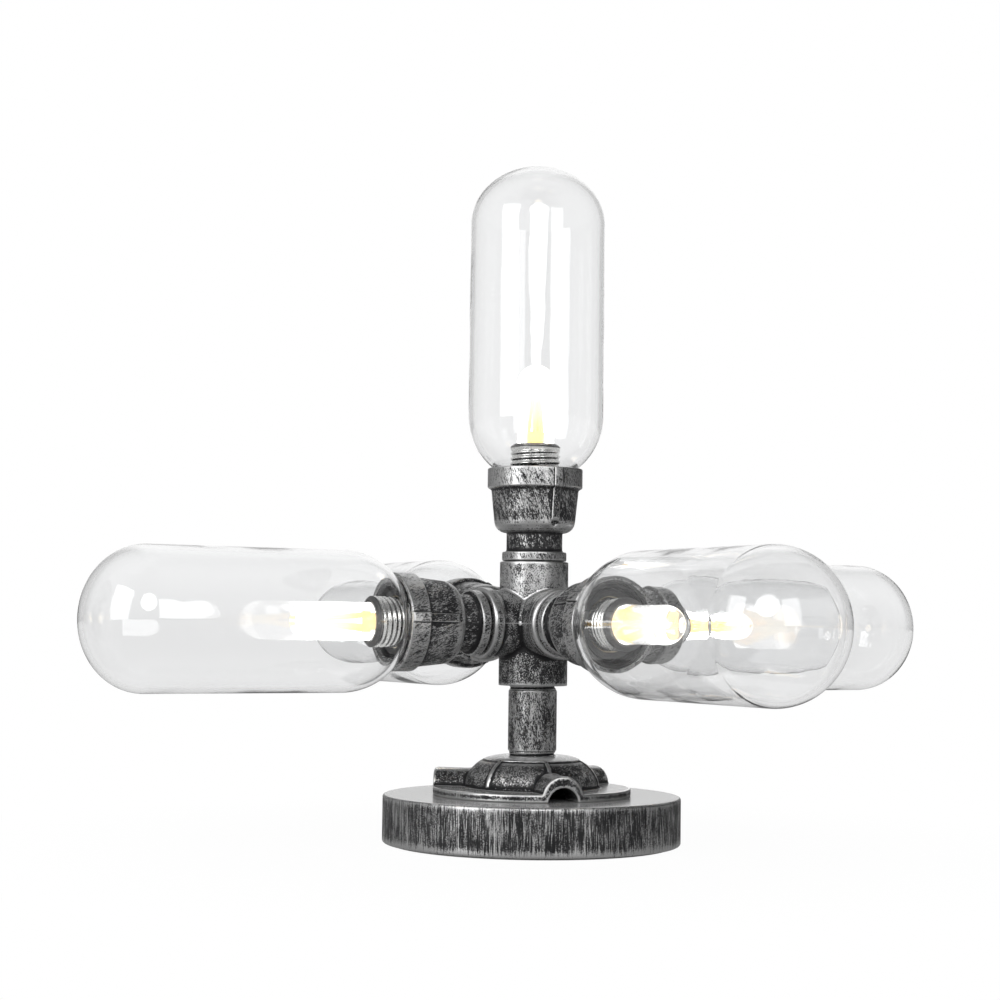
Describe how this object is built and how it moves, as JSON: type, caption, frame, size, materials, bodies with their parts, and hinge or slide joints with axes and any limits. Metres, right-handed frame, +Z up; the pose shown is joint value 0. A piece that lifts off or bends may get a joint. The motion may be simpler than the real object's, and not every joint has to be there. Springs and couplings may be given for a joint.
{
  "type": "table lamp",
  "caption": "Industrial table lamp of cast pipe fittings: round base, floor flange, short stem and a cross whose cups carry capsule glasses upward and outward.",
  "frame": {"origin": "centre of the underside of the base, on the surface the lamp stands on", "axes": "+Z up the stem and the top light; +X and +Y along two of the four level arms, the cord inlet facing +Y"},
  "size_m": [0.457, 0.457, 0.3352],
  "materials": {
    "base_iron": "satin black with worn silver edges and brushed vertical streaks",
    "felt": "pale grey felt",
    "black_plastic": "moulded",
    "terminal_plastic": "moulded",
    "brass_fittings": "bright",
    "flange_iron": "cast, blackened, silver rubbed on the high parts",
    "plated_steel": "zinc plated",
    "pipe_steel": "blackened, silver rubbed",
    "cross_iron": "cast, blackened, silver rubbed on the high parts",
    "wire_insulation": "smooth",
    "cup_iron": "cast, blackened, silver rubbed on rims and ribs",
    "nipple_steel": "blackened thread",
    "gasket_rubber": "matt",
    "holder_plastic": "moulded, black",
    "clear_glass": "clear",
    "cap_metal": "nickel plated",
    "capsule_glass": "clear, lit",
    "filament": "lit"
  },
  "bodies": {
    "root": {"base_disc": "base_iron", "base_pad": "felt", "cord_bush": "black_plastic", "terminal_block": "terminal_plastic", "earth_screw": "brass_fittings", "floor_flange": "flange_iron", "tie_tube": "brass_fittings", "clamp_nuts": "plated_steel", "clamp_washer": "plated_steel", "stem_pipe": "pipe_steel", "cross": "cross_iron", "wiring": "wire_insulation", "cup_top": "cup_iron", "cup_left": "cup_iron", "cup_front": "cup_iron", "cup_right": "cup_iron", "cup_rear": "cup_iron", "nipple_top": "nipple_steel", "nipple_left": "nipple_steel", "nipple_front": "nipple_steel", "nipple_right": "nipple_steel", "nipple_rear": "nipple_steel", "gasket_top": "gasket_rubber", "gasket_left": "gasket_rubber", "gasket_front": "gasket_rubber", "gasket_right": "gasket_rubber", "gasket_rear": "gasket_rubber", "holder_top": "holder_plastic", "holder_left": "holder_plastic", "holder_front": "holder_plastic", "holder_right": "holder_plastic", "holder_rear": "holder_plastic", "holder_contacts": "brass_fittings", "holder_screws": "plated_steel"},
    "glass_top": {"glass_top": "clear_glass"},
    "bulb_top": {"bulb_cap_top": "cap_metal", "capsule_top": "capsule_glass", "filament_top": "filament"},
    "glass_left": {"glass_left": "clear_glass"},
    "bulb_left": {"bulb_cap_left": "cap_metal", "capsule_left": "capsule_glass", "filament_left": "filament"},
    "glass_front": {"glass_front": "clear_glass"},
    "bulb_front": {"bulb_cap_front": "cap_metal", "capsule_front": "capsule_glass", "filament_front": "filament"},
    "glass_right": {"glass_right": "clear_glass"},
    "bulb_right": {"bulb_cap_right": "cap_metal", "capsule_right": "capsule_glass", "filament_right": "filament"},
    "glass_rear": {"glass_rear": "clear_glass"},
    "bulb_rear": {"bulb_cap_rear": "cap_metal", "capsule_rear": "capsule_glass", "filament_rear": "filament"}
  },
  "joints": [
    {"name": "glass_top_off", "type": "slide", "parent": "root", "child": "glass_top", "axis": [0, 0, 1], "range_m": [0, 0.06]},
    {"name": "bulb_top_out", "type": "slide", "parent": "root", "child": "bulb_top", "axis": [0, 0, 1], "range_m": [0, 0.022]},
    {"name": "glass_left_off", "type": "slide", "parent": "root", "child": "glass_left", "axis": [-1, 0, 0], "range_m": [0, 0.06]},
    {"name": "bulb_left_out", "type": "slide", "parent": "root", "child": "bulb_left", "axis": [-1, 0, 0], "range_m": [0, 0.022]},
    {"name": "glass_front_off", "type": "slide", "parent": "root", "child": "glass_front", "axis": [0, -1, 0], "range_m": [0, 0.06]},
    {"name": "bulb_front_out", "type": "slide", "parent": "root", "child": "bulb_front", "axis": [0, -1, 0], "range_m": [0, 0.022]},
    {"name": "glass_right_off", "type": "slide", "parent": "root", "child": "glass_right", "axis": [1, 0, 0], "range_m": [0, 0.06]},
    {"name": "bulb_right_out", "type": "slide", "parent": "root", "child": "bulb_right", "axis": [1, 0, 0], "range_m": [0, 0.022]},
    {"name": "glass_rear_off", "type": "slide", "parent": "root", "child": "glass_rear", "axis": [0, 1, 0], "range_m": [0, 0.06]},
    {"name": "bulb_rear_out", "type": "slide", "parent": "root", "child": "bulb_rear", "axis": [0, 1, 0], "range_m": [0, 0.022]}
  ]
}
